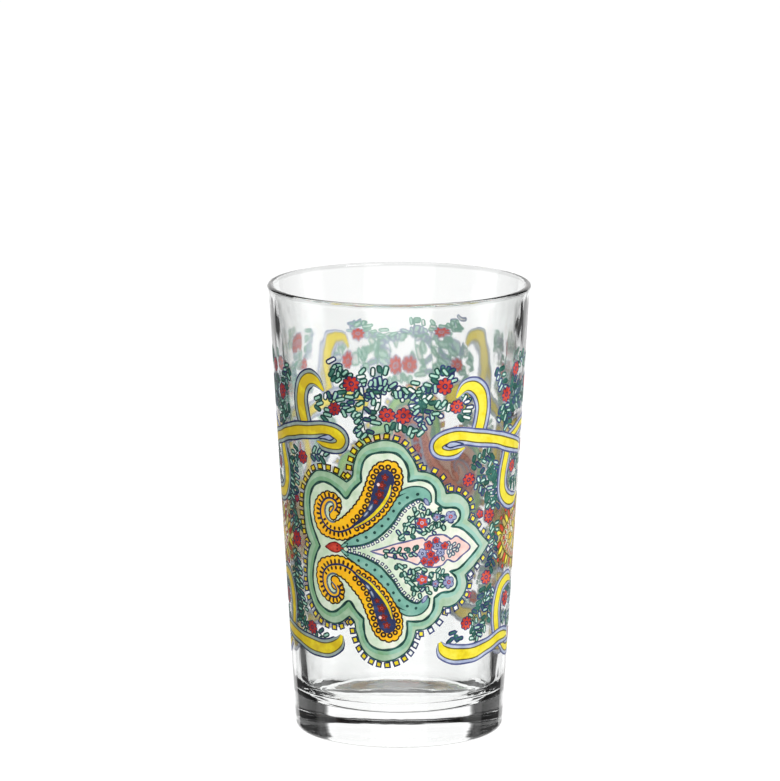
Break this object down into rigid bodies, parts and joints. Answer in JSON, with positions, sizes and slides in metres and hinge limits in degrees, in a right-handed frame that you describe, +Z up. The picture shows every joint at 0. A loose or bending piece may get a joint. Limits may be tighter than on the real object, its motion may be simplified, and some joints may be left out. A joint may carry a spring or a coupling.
{
  "type": "tea glass",
  "caption": "Tapered tea glass with a heavy clear base and a band of fired enamel ornament round its wall.",
  "frame": {"origin": "middle of the resting ring, on the table plane", "axes": "+Z up along the axis of the glass, -Y towards the front of the printed band"},
  "size_m": [0.0534, 0.0534, 0.092],
  "materials": {
    "clear_glass": "clear soda-lime glass, fire polished",
    "enamel_sage": "fired opaque enamel, gloss",
    "enamel_mint": "fired opaque enamel, gloss",
    "enamel_aqua": "fired opaque enamel, gloss",
    "enamel_orange": "fired opaque enamel, gloss",
    "enamel_brown": "fired opaque enamel, gloss",
    "enamel_yellow": "fired opaque enamel, gloss",
    "enamel_lavender": "fired opaque enamel, gloss",
    "enamel_pink": "fired opaque enamel, gloss",
    "enamel_red": "fired opaque enamel, gloss",
    "enamel_teal": "fired opaque enamel, gloss",
    "enamel_navy": "fired opaque enamel, gloss"
  },
  "bodies": {
    "root": {"glass_body": "clear_glass", "enamel_sage": "enamel_sage", "enamel_mint": "enamel_mint", "enamel_aqua": "enamel_aqua", "enamel_orange": "enamel_orange", "enamel_brown": "enamel_brown", "enamel_yellow": "enamel_yellow", "enamel_lavender": "enamel_lavender", "enamel_pink": "enamel_pink", "enamel_red": "enamel_red", "enamel_teal": "enamel_teal", "enamel_navy": "enamel_navy"}
  },
  "joints": []
}
